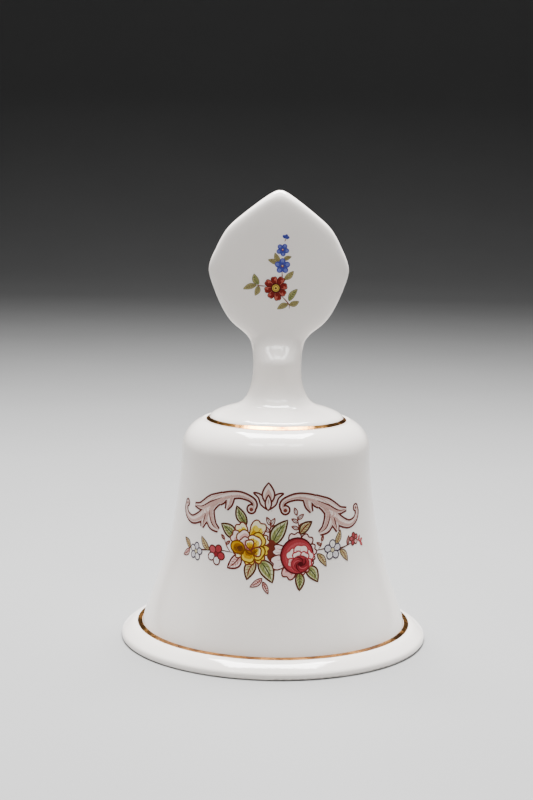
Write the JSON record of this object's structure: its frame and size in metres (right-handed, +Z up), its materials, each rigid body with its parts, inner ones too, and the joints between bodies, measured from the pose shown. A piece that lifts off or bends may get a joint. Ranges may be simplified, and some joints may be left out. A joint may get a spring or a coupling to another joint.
{
  "type": "hand bell",
  "caption": "Small porcelain table bell with a flat paddle handle, flared cup, gilt lines, a flower transfer and a hung clapper.",
  "frame": {"origin": "centre of the standing ring, on the plane that the bell stands on", "axes": "+Z up the bell's axis to the tip of the handle; the decorated front faces -Y; the flat of the handle lies in XZ"},
  "size_m": [0.089, 0.089, 0.13],
  "materials": {
    "glazed_porcelain": "gloss",
    "gilding": "polished",
    "cement": "matte",
    "brass_wire": "satin",
    "clapper_porcelain": "gloss"
  },
  "bodies": {
    "bell": {"bell_cup": "glazed_porcelain", "handle": "glazed_porcelain", "shoulder_gilt_line": "gilding", "lip_gilt_line": "gilding", "crown_plug": "cement", "crown_eye": "brass_wire"},
    "link": {"hanger_link": "brass_wire"},
    "clapper": {"clapper_wire": "brass_wire", "clapper_bulb": "clapper_porcelain", "end_bead": "brass_wire"}
  },
  "joints": [
    {"name": "link_turn", "type": "hinge", "parent": "bell", "child": "link", "pos_m": [0, 0, 0.05543], "axis": [0, 0, 1], "range_deg": [-40, 40]},
    {"name": "clapper_swing", "type": "hinge", "parent": "link", "child": "clapper", "pos_m": [0, 0, 0.04543], "axis": [0, 1, 0], "range_deg": [-45.5, 45.5]}
  ]
}
